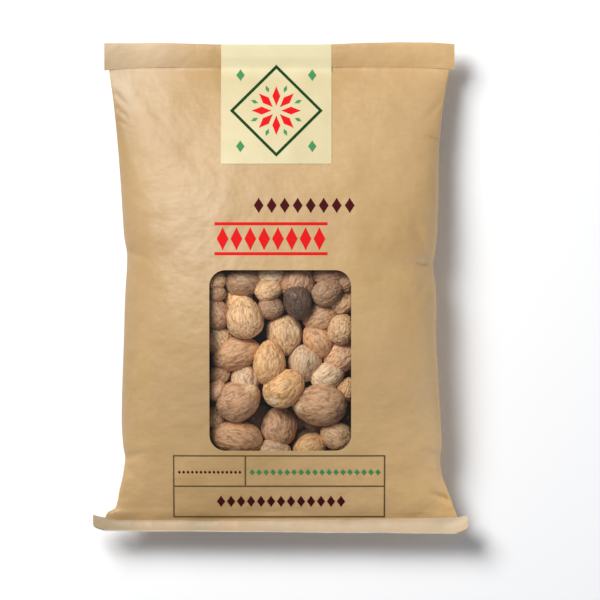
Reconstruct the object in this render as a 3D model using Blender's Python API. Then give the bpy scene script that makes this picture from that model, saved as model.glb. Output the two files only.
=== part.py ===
"""A kraft paper pillow pack of whole nutmegs, with a clear window, lying on its back with its front up.

Metres, +Z up. +Y runs to the pack's top and +X to the right of its front. The origin lies on the
surface under the middle of the pack's box.
"""

import math

import bmesh
import bpy
import numpy as np

# Heights of the filled pack and of its flat seals above the surface
CROWN_HEIGHT = 0.052
SEAL_HEIGHT = 0.018
GIRTH_HEIGHT = 0.0235
BACK_PRESS = 0.008
FLOOR_EASE = 0.002
PAPER_LAYERS = 0.0012
CLEARANCE = 0.0003

# Where the paper closes to flat seals, and how fast it swells between them
FOOT_LINE = -0.1227
NECK_LINE = 0.1155
FULLEST = 0.42
FOOT_ROUNDING = 0.75
NECK_ROUNDING = 0.7
SEAL_EASE = 0.03
FRONT_SQUARENESS = 2.4
BACK_SQUARENESS = 4.0
FRONT_STRIPS = 28
BACK_STRIPS = 12
LENGTH_STRIPS = 46
SEAL_TONGUE = 0.005

# The filled pack's outline from above: place along the pack, left edge, right edge
SIDE_LINES = (
    (-0.1227, -0.0936, 0.0940),
    (-0.1195, -0.0912, 0.0926),
    (-0.1165, -0.0876, 0.0915),
    (-0.1131, -0.0867, 0.0906),
    (-0.1071, -0.0854, 0.0885),
    (-0.1000, -0.0837, 0.0857),
    (-0.0945, -0.0828, 0.0849),
    (-0.0900, -0.0823, 0.0845),
    (-0.0855, -0.0831, 0.0852),
    (-0.0750, -0.0840, 0.0850),
    (-0.0570, -0.0840, 0.0840),
    (-0.0280, -0.0829, 0.0824),
    (0.0020, -0.0820, 0.0820),
    (0.0110, -0.0814, 0.0808),
    (0.0190, -0.0814, 0.0818),
    (0.0255, -0.0826, 0.0826),
    (0.0380, -0.0836, 0.0833),
    (0.0550, -0.0847, 0.0837),
    (0.0730, -0.0861, 0.0840),
    (0.1020, -0.0891, 0.0871),
    (0.1155, -0.0910, 0.0894),
)

# The mouth, folded over once to the front
BAND_LEFT = -0.0935
BAND_RIGHT = 0.0922
BAND_TOP = 0.1305
BAND_EDGE = 0.1171
BAND_END_SAG = 0.0019
BAND_FRONT = 0.0019
BAND_BACK = 0.0009
BAND_BOW = 0.0006
BAND_STRIPS = 16

# The bottom seal, curling up to the front
FIN_START = -0.1212
FIN_FLAT = 0.0017
FIN_RADIUS = 0.0063
FIN_TURN = math.radians(62)
FIN_HALF_WIDTH = 0.0994
FIN_NARROWING = 0.0055
FIN_CORNER_POWER = 5
FIN_SLANT = 0.0015
FIN_END_WIDTH = 0.014
FIN_END_LIFT = 0.0035
FIN_ACROSS = 28
FIN_STEPS = 7

# The window and what lies behind it
WINDOW_CENTRE = (-0.0003, -0.0380)
WINDOW_WIDTH = 0.0738
WINDOW_LENGTH = 0.0948
WINDOW_CORNER = 0.0085
PAPER_LIP = 0.0008
FILM_THICKNESS = 0.0004
FILM_LAP = 0.006
POCKET_LAP = 0.012
POCKET_FLOOR = 0.010
CORE_DEPTH = 0.012

# The cream label over the fold
LABEL_CENTRE = (-0.00225, 0.0977)
LABEL_WIDTH = 0.0585
LABEL_LENGTH = 0.0644
LABEL_THICKNESS = 0.0004
LABEL_GAP = 0.0004

# The nutmegs in the window: across, along, length, width, turn in degrees, how far behind the film
NUTMEGS = (
    (0.0205, -0.0618, 0.0295, 0.0222, 176, 0.0000),
    (0.0018, -0.0531, 0.0238, 0.0188, 38, 0.0000),
    (-0.0060, -0.0392, 0.0240, 0.0170, 86, 0.0000),
    (-0.0189, -0.0158, 0.0228, 0.0195, 97, 0.0000),
    (-0.0222, -0.0595, 0.0250, 0.0214, 28, 0.0000),
    (-0.0232, -0.0346, 0.0272, 0.0180, 16, 0.0005),
    (0.0021, -0.0250, 0.0222, 0.0194, 280, 0.0010),
    (-0.0232, -0.0790, 0.0272, 0.0178, 172, 0.0010),
    (0.0130, -0.0398, 0.0202, 0.0178, 260, 0.0010),
    (0.0091, -0.0073, 0.0195, 0.0150, 280, 0.0010),
    (-0.0008, -0.0733, 0.0214, 0.0194, 80, 0.0015),
    (0.0324, -0.0217, 0.0165, 0.0150, 80, 0.0015),
    (0.0324, -0.0358, 0.0200, 0.0170, 40, 0.0020),
    (0.0295, -0.0782, 0.0182, 0.0155, 150, 0.0020),
    (0.0160, -0.0850, 0.0195, 0.0165, 35, 0.0020),
    (0.0197, -0.0279, 0.0195, 0.0150, 125, 0.0020),
    (0.0249, -0.0023, 0.0178, 0.0142, 25, 0.0020),
    (0.0249, -0.0464, 0.0192, 0.0152, 28, 0.0020),
    (-0.0344, -0.0130, 0.0188, 0.0138, 112, 0.0020),
    (-0.0218, -0.0062, 0.0165, 0.0152, 60, 0.0020),
    (-0.0064, -0.0012, 0.0150, 0.0124, 15, 0.0025),
    (0.0213, -0.0161, 0.0195, 0.0160, 18, 0.0025),
    (0.0332, -0.0076, 0.0155, 0.0130, 40, 0.0025),
    (-0.0328, -0.0268, 0.0175, 0.0152, 120, 0.0025),
    (-0.0324, -0.0463, 0.0120, 0.0105, 30, 0.0025),
    (-0.0188, -0.0479, 0.0172, 0.0155, 110, 0.0025),
    (-0.0322, -0.0546, 0.0105, 0.0092, 60, 0.0025),
    (-0.0037, -0.0846, 0.0170, 0.0145, 10, 0.0025),
    (0.0345, -0.0540, 0.0140, 0.0110, 70, 0.0030),
    (-0.0050, -0.0104, 0.0140, 0.0128, 0, 0.0030),
    (0.0091, 0.0034, 0.0200, 0.0184, 80, 0.0030),
    (-0.0193, 0.0032, 0.0205, 0.0160, 15, 0.0035),
    (-0.0336, -0.0029, 0.0105, 0.0095, 0, 0.0035),
    (-0.0341, 0.0038, 0.0120, 0.0105, 0, 0.0040),
    (0.0261, 0.0070, 0.0180, 0.0120, 5, 0.0040),
    (-0.0047, 0.0067, 0.0150, 0.0120, 0, 0.0045),
    (0.0351, 0.0032, 0.0115, 0.0100, 60, 0.0045),
    (-0.0352, -0.0687, 0.0125, 0.0110, 90, 0.0045),
)
NUTMEG_TAPER = 0.12
NUTMEG_FLATNESS = 0.94
NUTMEG_ROUNDING = 2
SINK_STEP = 0.0005
DEEPEST_SINK = 0.012
TOUCH_SHARE = 0.86

KRAFT = (0.53, 0.37, 0.20)
CREAM = (0.86, 0.76, 0.50)
FILM_TINT = (0.92, 0.94, 0.95)
NUT_BROWN = (0.30, 0.17, 0.09)


def clear_scene():
    for thing in list(bpy.data.objects):
        bpy.data.objects.remove(thing)


def paint(name, colour, roughness, alpha=1.0):
    material = bpy.data.materials.new(name)
    material.use_nodes = True
    shader = material.node_tree.nodes["Principled BSDF"]
    shader.inputs["Base Color"].default_value = (*colour, 1)
    shader.inputs["Roughness"].default_value = roughness
    shader.inputs["Metallic"].default_value = 0
    shader.inputs["Alpha"].default_value = alpha
    return material


def smooth_through(stations, column, along):
    """A smooth curve through one column of the stations, read at each place along the pack."""
    places = np.array([station[0] for station in stations])
    values = np.array([station[column] for station in stations])
    slopes = np.gradient(values, places)
    low = np.clip(np.searchsorted(places, along) - 1, 0, len(places) - 2)
    step = places[low + 1] - places[low]
    t = np.clip((along - places[low]) / step, 0, 1)
    from_low = (1 + 2 * t) * (1 - t) ** 2 * values[low] + t * (1 - t) ** 2 * step * slopes[low]
    to_high = t**2 * (3 - 2 * t) * values[low + 1] - t**2 * (1 - t) * step * slopes[low + 1]
    return from_low + to_high


def eased_power(share, power):
    """A power of the share, from 0 to 1, that leaves 0 at a finite slope."""
    raised = (share + SEAL_EASE) ** power - SEAL_EASE**power
    return raised / ((1 + SEAL_EASE) ** power - SEAL_EASE**power)


def fullness(along):
    """How far the pack is swollen, from 0 at its seals to 1 where it is fullest."""
    share = np.clip((along - FOOT_LINE) / (NECK_LINE - FOOT_LINE), 0, 1)
    foot_rise = np.sin(math.pi / 2 * np.minimum(share / FULLEST, 1))
    neck_rise = np.sin(math.pi / 2 * np.minimum((1 - share) / (1 - FULLEST), 1))
    to_foot = eased_power(foot_rise, FOOT_ROUNDING)
    to_neck = eased_power(neck_rise, NECK_ROUNDING)
    return np.where(share < FULLEST, to_foot, to_neck)


def arch(across, along, squareness):
    """The section's height, from 0 at its side edges to 1 in the middle."""
    left = smooth_through(SIDE_LINES, 1, along)
    right = smooth_through(SIDE_LINES, 2, along)
    share = np.clip(np.abs(2 * across - left - right) / (right - left), 0, 1)
    return np.sqrt(1 - share**squareness)


def girth_height(along):
    return SEAL_HEIGHT + (GIRTH_HEIGHT - SEAL_HEIGHT) * fullness(along)


def front_height(across, along):
    """The front's height above the surface that the pack lies on."""
    seal_top = SEAL_HEIGHT + PAPER_LAYERS / 2
    crown = seal_top + (CROWN_HEIGHT - seal_top) * fullness(along)
    girth = girth_height(along)
    return girth + (crown - girth) * arch(across, along, FRONT_SQUARENESS)


def back_height(across, along):
    """The back's height: flat on the surface where the nutmegs press it down."""
    seal_bottom = SEAL_HEIGHT - PAPER_LAYERS / 2
    keel = seal_bottom - (seal_bottom + BACK_PRESS) * fullness(along)
    girth = girth_height(along)
    free = girth - (girth - keel) * arch(across, along, BACK_SQUARENESS)
    eased = (free + FLOOR_EASE) ** 2 / (4 * FLOOR_EASE)
    return np.where(free < -FLOOR_EASE, 0.0, np.where(free > FLOOR_EASE, free, eased))


def finished(name, mesh, material):
    """An object made from the bmesh, smooth but for its sharp edges."""
    bmesh.ops.recalc_face_normals(mesh, faces=mesh.faces)
    data = bpy.data.meshes.new(name)
    mesh.to_mesh(data)
    mesh.free()
    made = bpy.data.objects.new(name, data)
    bpy.context.scene.collection.objects.link(made)
    if material:
        made.data.materials.append(material)
    made.data.shade_smooth()
    made.data.set_sharp_from_angle(angle=math.radians(40))
    return made


def loft(name, rings, material=None):
    """A closed solid through rings of equally many points, capped at both ends."""
    mesh = bmesh.new()
    loops = [[mesh.verts.new(point) for point in ring] for ring in rings]
    for first, second in zip(loops, loops[1:]):
        for i in range(len(first)):
            j = (i + 1) % len(first)
            mesh.faces.new((first[i], first[j], second[j], second[i]))
    mesh.faces.new(loops[0])
    mesh.faces.new(loops[-1])
    return finished(name, mesh, material)


def slab(name, upper, lower, material=None):
    """A closed solid between two grids of points, each shaped (rows, columns, 3)."""
    rows, columns = upper.shape[:2]
    mesh = bmesh.new()
    top = [[mesh.verts.new(point) for point in row] for row in upper]
    bottom = [[mesh.verts.new(point) for point in row] for row in lower]
    for r in range(rows - 1):
        for c in range(columns - 1):
            mesh.faces.new((top[r][c], top[r][c + 1], top[r + 1][c + 1], top[r + 1][c]))
            mesh.faces.new((bottom[r][c], bottom[r + 1][c], bottom[r + 1][c + 1], bottom[r][c + 1]))
    rim = [(0, c) for c in range(columns)]
    rim += [(r, columns - 1) for r in range(1, rows)]
    rim += [(rows - 1, c) for c in range(columns - 2, -1, -1)]
    rim += [(r, 0) for r in range(rows - 2, 0, -1)]
    for (r1, c1), (r2, c2) in zip(rim, rim[1:] + rim[:1]):
        mesh.faces.new((top[r1][c1], bottom[r1][c1], bottom[r2][c2], top[r2][c2]))
    return finished(name, mesh, material)


def rounded_grid(grow, columns, rows, corner_rows=4):
    """Plan points over the window's rounded rectangle grown by that much, shaped (rows, columns)."""
    half_width = WINDOW_WIDTH / 2 + grow
    half_length = WINDOW_LENGTH / 2 + grow
    corner = WINDOW_CORNER + grow
    turns = np.linspace(0, math.pi / 2, corner_rows + 1)
    corner_along = half_length - corner + corner * np.cos(turns)
    straight_along = np.linspace(half_length - corner, corner - half_length, rows)[1:-1]
    along = np.concatenate((corner_along, straight_along, -corner_along[::-1]))
    into_corner = np.clip(np.abs(along) - (half_length - corner), 0, corner)
    reach = half_width - corner + np.sqrt(corner**2 - into_corner**2)
    share = np.linspace(-1, 1, columns)
    across = WINDOW_CENTRE[0] + reach[:, None] * share[None, :]
    return across, np.repeat(WINDOW_CENTRE[1] + along[:, None], columns, axis=1)


def at_height(across, along, height):
    return np.stack((across, along, np.broadcast_to(height, across.shape)), axis=-1)


def combine(body, other, operation):
    """Join the other solid to the body, or cut it out, and remove it."""
    change = body.modifiers.new(other.name, "BOOLEAN")
    change.operation = operation
    change.object = other
    change.solver = "EXACT"
    depsgraph = bpy.context.evaluated_depsgraph_get()
    result = bpy.data.meshes.new_from_object(body.evaluated_get(depsgraph))
    body.modifiers.clear()
    body.data = result
    bpy.data.objects.remove(other)


def pack_body(material):
    """The swollen paper between the seals, lofted through sections along the pack."""
    swell = np.linspace(0, math.pi, LENGTH_STRIPS + 1)
    stations = FOOT_LINE + (NECK_LINE - FOOT_LINE) * (1 - np.cos(swell)) / 2
    stations = [FOOT_LINE - SEAL_TONGUE, *stations, NECK_LINE + SEAL_TONGUE]
    front_share = np.sin(np.linspace(-math.pi / 2, math.pi / 2, FRONT_STRIPS + 1))
    back_share = np.sin(np.linspace(math.pi / 2, -math.pi / 2, BACK_STRIPS + 1))[1:-1]
    rings = []
    for along in stations:
        left = smooth_through(SIDE_LINES, 1, along)
        right = smooth_through(SIDE_LINES, 2, along)
        front = (left + right) / 2 + (right - left) / 2 * front_share
        back = (left + right) / 2 + (right - left) / 2 * back_share
        ring = [(x, along, z) for x, z in zip(front, front_height(front, along))]
        ring += [(x, along, z) for x, z in zip(back, back_height(back, along))]
        rings.append(ring)
    return loft("paper_bag", rings, material)


def folded_band():
    """The mouth's layers, folded over to the front, with a round fold along the top."""
    rings = []
    middle = (BAND_LEFT + BAND_RIGHT) / 2
    thickness = BAND_FRONT + BAND_BACK
    fold_centre = BAND_TOP - thickness / 2
    for across in np.linspace(BAND_LEFT, BAND_RIGHT, BAND_STRIPS + 1):
        share = (across - middle) / (BAND_RIGHT - middle)
        lift = SEAL_HEIGHT + BAND_BOW * (1 - share**2)
        edge = BAND_EDGE - BAND_END_SAG * share**6
        turns = np.linspace(-math.pi / 2, math.pi / 2, 7)
        fold_height = lift + (BAND_FRONT - BAND_BACK) / 2
        ring = [(across, edge, lift - BAND_BACK)]
        ring += [
            (across, fold_centre + thickness / 2 * math.cos(t), fold_height + thickness / 2 * math.sin(t))
            for t in turns
        ]
        ring.append((across, edge, lift + BAND_FRONT))
        rings.append(ring)
    return loft("band", rings)


def bottom_fin():
    """The bottom seal: flat at first, then curling up, with corners that roll in a little."""
    share = np.linspace(-1, 1, FIN_ACROSS + 1)[None, :]
    depth = np.linspace(0, 1, FIN_STEPS + 1)[:, None]
    run = depth * (FIN_FLAT + FIN_RADIUS * FIN_TURN)
    turn = np.clip((run - FIN_FLAT) / FIN_RADIUS, 0, FIN_TURN)
    across = share * (FIN_HALF_WIDTH - FIN_NARROWING * depth**FIN_CORNER_POWER)
    end = np.clip((np.abs(across) - (FIN_HALF_WIDTH - FIN_END_WIDTH)) / FIN_END_WIDTH, 0, 1)
    along = FIN_START - np.minimum(run, FIN_FLAT) - FIN_RADIUS * np.sin(turn)
    along = along - FIN_SLANT * (1 + share) / 2 * depth
    height = SEAL_HEIGHT + FIN_RADIUS * (1 - np.cos(turn)) + FIN_END_LIFT * end**2 * depth
    half = PAPER_LAYERS / 2
    upper = np.stack((across, along + half * np.sin(turn), height + half * np.cos(turn)), axis=-1)
    lower = np.stack((across, along - half * np.sin(turn), height - half * np.cos(turn)), axis=-1)
    return slab("fin", upper, lower)


def window_pocket():
    """The room behind the window, reaching under the paper all round it."""
    across, along = rounded_grid(POCKET_LAP, 14, 14)
    upper = at_height(across, along, front_height(across, along) - PAPER_LIP)
    return slab("pocket", upper, at_height(across, along, POCKET_FLOOR))


def window_opening():
    across, along = rounded_grid(0, 12, 12)
    above = at_height(across, along, CROWN_HEIGHT + PAPER_LIP)
    below = at_height(across, along, front_height(across, along) - 2 * PAPER_LIP)
    return slab("opening", above, below)


def film_underside(across, along):
    return front_height(across, along) - PAPER_LIP - CLEARANCE - FILM_THICKNESS


def window_film(material):
    """The clear film behind the opening, lying against the paper's inner face."""
    across, along = rounded_grid(FILM_LAP, 14, 14)
    lower = at_height(across, along, film_underside(across, along))
    return slab("window_film", lower + (0, 0, FILM_THICKNESS), lower, material)


def nutmeg_shape(points, length, width, turn):
    """Points of a unit ball drawn out to a nutmeg that narrows to one end."""
    drawn = points * (length / 2, width / 2, width / 2 * NUTMEG_FLATNESS)
    drawn[:, 1:] *= (1 - NUTMEG_TAPER * points[:, :1])
    angle = math.radians(turn)
    turned_x = drawn[:, 0] * math.cos(angle) - drawn[:, 1] * math.sin(angle)
    turned_y = drawn[:, 0] * math.sin(angle) + drawn[:, 1] * math.cos(angle)
    return np.stack((turned_x, turned_y, drawn[:, 2]), axis=1)


def reach_into(points, place, length, width, turn):
    """How deep the points lie in a nutmeg at that place: under 1 is inside it."""
    away = points - place
    angle = math.radians(turn)
    lengthwise = away[:, 0] * math.cos(angle) + away[:, 1] * math.sin(angle)
    crosswise = away[:, 1] * math.cos(angle) - away[:, 0] * math.sin(angle)
    parts = (lengthwise / (length / 2), crosswise / (width / 2), away[:, 2] / (width / 2 * NUTMEG_FLATNESS))
    return np.sqrt(sum(part**2 for part in parts)).min()


def settle_nutmegs(ball):
    """The height of each nutmeg's middle: under the film, and sunk until it is clear of those before it."""
    settled = []
    for across, along, length, width, turn, behind in NUTMEGS:
        shape = nutmeg_shape(ball, length, width, turn)
        ceiling = film_underside(shape[:, 0] + across, shape[:, 1] + along) - CLEARANCE
        height = (ceiling - shape[:, 2]).min() - behind
        lowest = max(height - DEEPEST_SINK, POCKET_FLOOR + 2 * CLEARANCE - shape[:, 2].min())
        while height - SINK_STEP > lowest:
            placed = shape + (across, along, height)
            if all(reach_into(placed, *other) > TOUCH_SHARE for other in settled):
                break
            height -= SINK_STEP
        settled.append(((across, along, height), length, width, turn))
    return settled


def nutmeg_heap(material):
    """A core under the film with the nutmegs that show fused on."""
    across, along = rounded_grid(POCKET_LAP - CLEARANCE, 12, 10)
    upper = at_height(across, along, film_underside(across, along) - CORE_DEPTH)
    heap = slab("nutmegs", upper, at_height(across, along, POCKET_FLOOR + CLEARANCE), material)
    ball = bmesh.new()
    bmesh.ops.create_icosphere(ball, subdivisions=NUTMEG_ROUNDING, radius=1)
    points = np.array([vert.co for vert in ball.verts])
    faces = [[vert.index for vert in face.verts] for face in ball.faces]
    ball.free()
    pieces = bpy.data.collections.new("pieces")
    bpy.context.scene.collection.children.link(pieces)
    for (place, length, width, turn) in settle_nutmegs(points):
        data = bpy.data.meshes.new("nutmeg")
        shape = nutmeg_shape(points, length, width, turn) + place
        data.from_pydata(shape.tolist(), [], faces)
        pieces.objects.link(bpy.data.objects.new("nutmeg", data))
    change = heap.modifiers.new("fuse", "BOOLEAN")
    change.operation = "UNION"
    change.operand_type = "COLLECTION"
    change.collection = pieces
    change.solver = "EXACT"
    depsgraph = bpy.context.evaluated_depsgraph_get()
    fused = bpy.data.meshes.new_from_object(heap.evaluated_get(depsgraph))
    heap.modifiers.clear()
    heap.data = fused
    for piece in list(pieces.objects):
        bpy.data.objects.remove(piece)
    bpy.data.collections.remove(pieces)
    return heap


def front_label(material):
    """The label, over the fold and on down the front."""
    across = LABEL_CENTRE[0] + LABEL_WIDTH * np.linspace(-0.5, 0.5, 11)[None, :]
    along = LABEL_CENTRE[1] + LABEL_LENGTH * np.linspace(-0.5, 0.5, 25)[:, None]
    across, along = np.broadcast_arrays(across, along)
    band = SEAL_HEIGHT + BAND_BOW + BAND_FRONT
    lower = np.maximum(front_height(across, along), band) + LABEL_GAP
    under = at_height(across, along, lower)
    return slab("front_label", under + (0, 0, LABEL_THICKNESS), under, material)


def main():
    clear_scene()
    bag = pack_body(paint("kraft_paper", KRAFT, 0.8))
    combine(bag, folded_band(), "UNION")
    combine(bag, bottom_fin(), "UNION")
    combine(bag, window_pocket(), "DIFFERENCE")
    combine(bag, window_opening(), "DIFFERENCE")
    window_film(paint("clear_film", FILM_TINT, 0.1, alpha=0.3))
    nutmeg_heap(paint("nutmeg_shell", NUT_BROWN, 0.7))
    front_label(paint("cream_label", CREAM, 0.6))


main()
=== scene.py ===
# %% [markdown]
# # A kraft paper window pack of whole nutmegs
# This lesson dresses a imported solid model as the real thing: a brown paper pillow pack that lies on
# its back, with a clear window in its front and whole nutmegs behind the window. Every length is in
# metres. +X runs to the right of the pack's front, +Y to its top and +Z up, out of its front.

import math
import random

import bmesh
import bpy
import numpy as np
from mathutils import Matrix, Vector, noise
from mathutils.bvhtree import BVHTree


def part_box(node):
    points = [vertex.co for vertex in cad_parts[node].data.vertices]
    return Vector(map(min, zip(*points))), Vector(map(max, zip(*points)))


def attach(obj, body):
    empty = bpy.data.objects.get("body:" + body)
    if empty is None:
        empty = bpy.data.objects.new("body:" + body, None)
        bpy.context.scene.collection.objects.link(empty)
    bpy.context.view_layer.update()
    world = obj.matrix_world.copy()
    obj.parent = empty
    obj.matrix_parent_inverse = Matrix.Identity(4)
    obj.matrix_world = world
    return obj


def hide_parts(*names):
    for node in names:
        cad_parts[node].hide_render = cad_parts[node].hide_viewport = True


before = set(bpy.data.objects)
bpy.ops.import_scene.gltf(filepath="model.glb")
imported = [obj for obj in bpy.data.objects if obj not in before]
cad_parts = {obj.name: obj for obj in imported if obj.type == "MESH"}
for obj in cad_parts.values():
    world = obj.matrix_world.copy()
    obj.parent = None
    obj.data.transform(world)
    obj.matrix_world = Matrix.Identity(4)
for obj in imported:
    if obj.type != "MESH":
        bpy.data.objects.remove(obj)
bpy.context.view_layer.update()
bag_low, bag_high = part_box("paper_bag")
print("the pack's solid spans", [round(high - low, 4) for low, high in zip(bag_low, bag_high)])

# %% [markdown]
# ## The camera
# The pack is seen square on, with hardly any perspective, so a very long lens far above it is right.
# An orthographic camera would do too, but a long lens keeps the slight widening of the near front.
# The lens and the width of the picture at the pack's edge give the camera's height.

# %% Place the camera
PICTURE_WIDTH = 0.318
EDGE_HEIGHT = 0.021
SENSOR = 36.0
LENS = 500.0
PICTURE_MIDDLE = (0.0103, -0.0064)

camera_data = bpy.data.cameras.new("camera")
camera_data.lens = LENS
camera_data.sensor_width = SENSOR
camera = bpy.data.objects.new("camera", camera_data)
camera.location = (*PICTURE_MIDDLE, EDGE_HEIGHT + PICTURE_WIDTH * LENS / SENSOR)
camera_data.clip_end = 20
bpy.context.scene.collection.objects.link(camera)
bpy.context.scene.camera = camera
bpy.context.scene.view_settings.view_transform = "Standard"
print("camera height", round(camera.location.z, 3))

# %% [markdown]
# ## Paints from nodes
# Every finish in this lesson is procedural: noise over the object's own coordinates, drawn out and
# mixed into colour, roughness and bump. These helpers add the nodes, so that each material below
# reads like a recipe.

# %% Helpers for node materials


def start_material(name, roughness):
    """A new node material, its tree and its shader."""
    material = bpy.data.materials.new(name)
    material.use_nodes = True
    shader = material.node_tree.nodes["Principled BSDF"]
    shader.inputs["Roughness"].default_value = roughness
    return material, material.node_tree, shader


def add_node(tree, kind, inputs=None, **settings):
    """A node of that kind, with its settings and the values of its inputs."""
    made = tree.nodes.new("ShaderNode" + kind)
    for name, value in settings.items():
        setattr(made, name, value)
    for name, value in (inputs or {}).items():
        if hasattr(value, "is_output"):
            tree.links.new(value, made.inputs[name])
        else:
            made.inputs[name].default_value = value
    return made


def mix_colours(tree, factor, first, second, blend="MIX"):
    """The output of a colour mix."""
    made = add_node(tree, "Mix", data_type="RGBA", blend_type=blend)
    for place, value in ((0, factor), (6, first), (7, second)):
        if hasattr(value, "is_output"):
            tree.links.new(value, made.inputs[place])
        else:
            made.inputs[place].default_value = value if place == 0 else (*value, 1)
    return made.outputs[2]


def spread(tree, value, low, high, to_low=0.0, to_high=1.0):
    """The value drawn out from one range to another, and kept inside it."""
    names = ("Value", "From Min", "From Max", "To Min", "To Max")
    return add_node(tree, "MapRange", dict(zip(names, (value, low, high, to_low, to_high)))).outputs[0]


def multiply(tree, first, second):
    """The product of two values."""
    return add_node(tree, "Math", {0: first, 1: second}, operation="MULTIPLY").outputs[0]


def speckle(tree, scale, stretch=(1, 1, 1), detail=3.0, place=None):
    """Noise over the object's own coordinates or the place given, drawn out by the stretch."""
    place = place or add_node(tree, "TexCoord").outputs["Object"]
    mapped = add_node(tree, "Mapping", {"Vector": place, "Scale": stretch}).outputs[0]
    settings = {"Vector": mapped, "Scale": scale, "Detail": detail}
    return add_node(tree, "TexNoise", settings).outputs["Fac"]


def overlay(tree, below, pattern, low, high, most, colour):
    """The colour below, covered by another up to the share given where the pattern is strong."""
    return mix_colours(tree, spread(tree, pattern, low, high, 0.0, most), below, colour)


def two_tone_material(name, roughness, scale, first, second, stretch=(1, 1, 1)):
    """A matte material whose colour drifts between two tones."""
    material, tree, shader = start_material(name, roughness)
    drift = spread(tree, speckle(tree, scale, stretch=stretch), 0.3, 0.7)
    tree.links.new(mix_colours(tree, drift, first, second), shader.inputs["Base Color"])
    return material


# %% [markdown]
# ## The floor and the light
# A product photo of paper wants soft light: one large key lamp from the upper left, which throws
# the soft shadow to the lower right, a nearer one that puts a pale sheen on the upper left of the
# paper, and a white world to open the shadows, a touch cool because brown paper warms them. A low
# card at the right lifts the slopes that face it but hardly lights the floor, so the shadow keeps
# its depth.

# %% Floor, lamps and world
FLOOR_SIZE = 8
WORLD_COLOUR = (0.94, 0.98, 1.05, 1)
WORLD_STRENGTH = 0.21
# Name, place, side of the square and watts
LAMPS = (
    ("key_lamp", (-0.84, 0.86, 1.44), 0.9, 36),
    ("sheen_lamp", (-0.26, 0.34, 0.80), 0.3, 1.15),
    ("low_card", (1.25, -0.50, 0.18), 0.35, 4.7),
)

floor_paint = two_tone_material("studio_floor", 0.9, 3.0, (0.965, 0.965, 0.965), (0.98, 0.98, 0.98))
bpy.ops.mesh.primitive_plane_add(size=FLOOR_SIZE, location=(0, 0, 0))
floor = bpy.context.object
floor.name = "studio_floor"
floor.data.materials.append(floor_paint)


def add_lamp(name, place, size, watts):
    """A square lamp that looks at the middle of the pack."""
    data = bpy.data.lights.new(name, "AREA")
    data.size = size
    data.energy = watts
    lamp = bpy.data.objects.new(name, data)
    lamp.location = place
    lamp.rotation_euler = (-Vector(place)).to_track_quat("-Z", "Y").to_euler()
    bpy.context.scene.collection.objects.link(lamp)


for lamp_values in LAMPS:
    add_lamp(*lamp_values)
world = bpy.context.scene.world or bpy.data.worlds.new("studio_world")
bpy.context.scene.world = world
world.use_nodes = True
backdrop = world.node_tree.nodes["Background"]
backdrop.inputs["Color"].default_value = WORLD_COLOUR
backdrop.inputs["Strength"].default_value = WORLD_STRENGTH
print("floor and lamps ready")

# %% [markdown]
# ## The pack's form
# A pillow pack is a paper tube closed by flat seals at both ends. Full of nutmegs it swells between
# the seals and its sides draw in. Instead of blowing up a cloth, its height is written as a formula
# of the place across and along: a rounded arch across, which grows out of each seal. The formula is
# the solid's own, with the outline near the foot drawn more closely, and paper, film, label, print
# and nutmegs all use it, so they agree.

# %% Sizes of the swollen pack
CROWN_HEIGHT = 0.052
SEAL_HEIGHT = 0.018
GIRTH_HEIGHT = 0.0235
BACK_PRESS = 0.008
FLOOR_EASE = 0.002
PAPER_LAYERS = 0.0012
FOOT_LINE = -0.1233
NECK_LINE = 0.1155
FULLEST = 0.42
FOOT_ROUNDING = 0.75
NECK_ROUNDING = 0.7
SEAL_EASE = 0.03
FRONT_SQUARENESS = 2.4
BACK_SQUARENESS = 4.0

# Place along the pack, its left edge and its right edge
SIDE_LINES = np.array((
    (-0.1233, -0.0934, 0.0942),
    (-0.1205, -0.0926, 0.0931),
    (-0.1187, -0.0914, 0.0924),
    (-0.1174, -0.0883, 0.0919),
    (-0.1144, -0.0869, 0.0910),
    (-0.1071, -0.0854, 0.0885),
    (-0.1000, -0.0837, 0.0857),
    (-0.0945, -0.0828, 0.0849),
    (-0.0900, -0.0823, 0.0845),
    (-0.0855, -0.0831, 0.0852),
    (-0.0750, -0.0840, 0.0850),
    (-0.0570, -0.0840, 0.0840),
    (-0.0280, -0.0829, 0.0824),
    (0.0020, -0.0820, 0.0820),
    (0.0110, -0.0814, 0.0808),
    (0.0190, -0.0814, 0.0818),
    (0.0255, -0.0826, 0.0826),
    (0.0380, -0.0836, 0.0833),
    (0.0550, -0.0847, 0.0837),
    (0.0730, -0.0861, 0.0840),
    (0.1020, -0.0891, 0.0871),
    (0.1155, -0.0910, 0.0894),
))


# %% [markdown]
# The side lines are smooth curves through a few points of the outline. Along the pack a sine says
# how full it is, and across it an arch, squarer than a circle, gives the height of front and back.

# %% Height of the paper at any place


def side_line(column, along, lines=SIDE_LINES):
    """A smooth curve through one side's points: 1 is the left side and 2 the right."""
    places = lines[:, 0]
    values = lines[:, column]
    slopes = np.gradient(values, places)
    low = np.clip(np.searchsorted(places, along) - 1, 0, len(places) - 2)
    step = places[low + 1] - places[low]
    t = np.clip((along - places[low]) / step, 0, 1)
    from_low = (1 + 2 * t) * (1 - t) ** 2 * values[low] + t * (1 - t) ** 2 * step * slopes[low]
    to_high = t**2 * (3 - 2 * t) * values[low + 1] - t**2 * (1 - t) * step * slopes[low + 1]
    return from_low + to_high


def eased_power(share, power):
    """A power of the share, from 0 to 1, that leaves 0 at a finite slope."""
    raised = (share + SEAL_EASE) ** power - SEAL_EASE**power
    return raised / ((1 + SEAL_EASE) ** power - SEAL_EASE**power)


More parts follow.
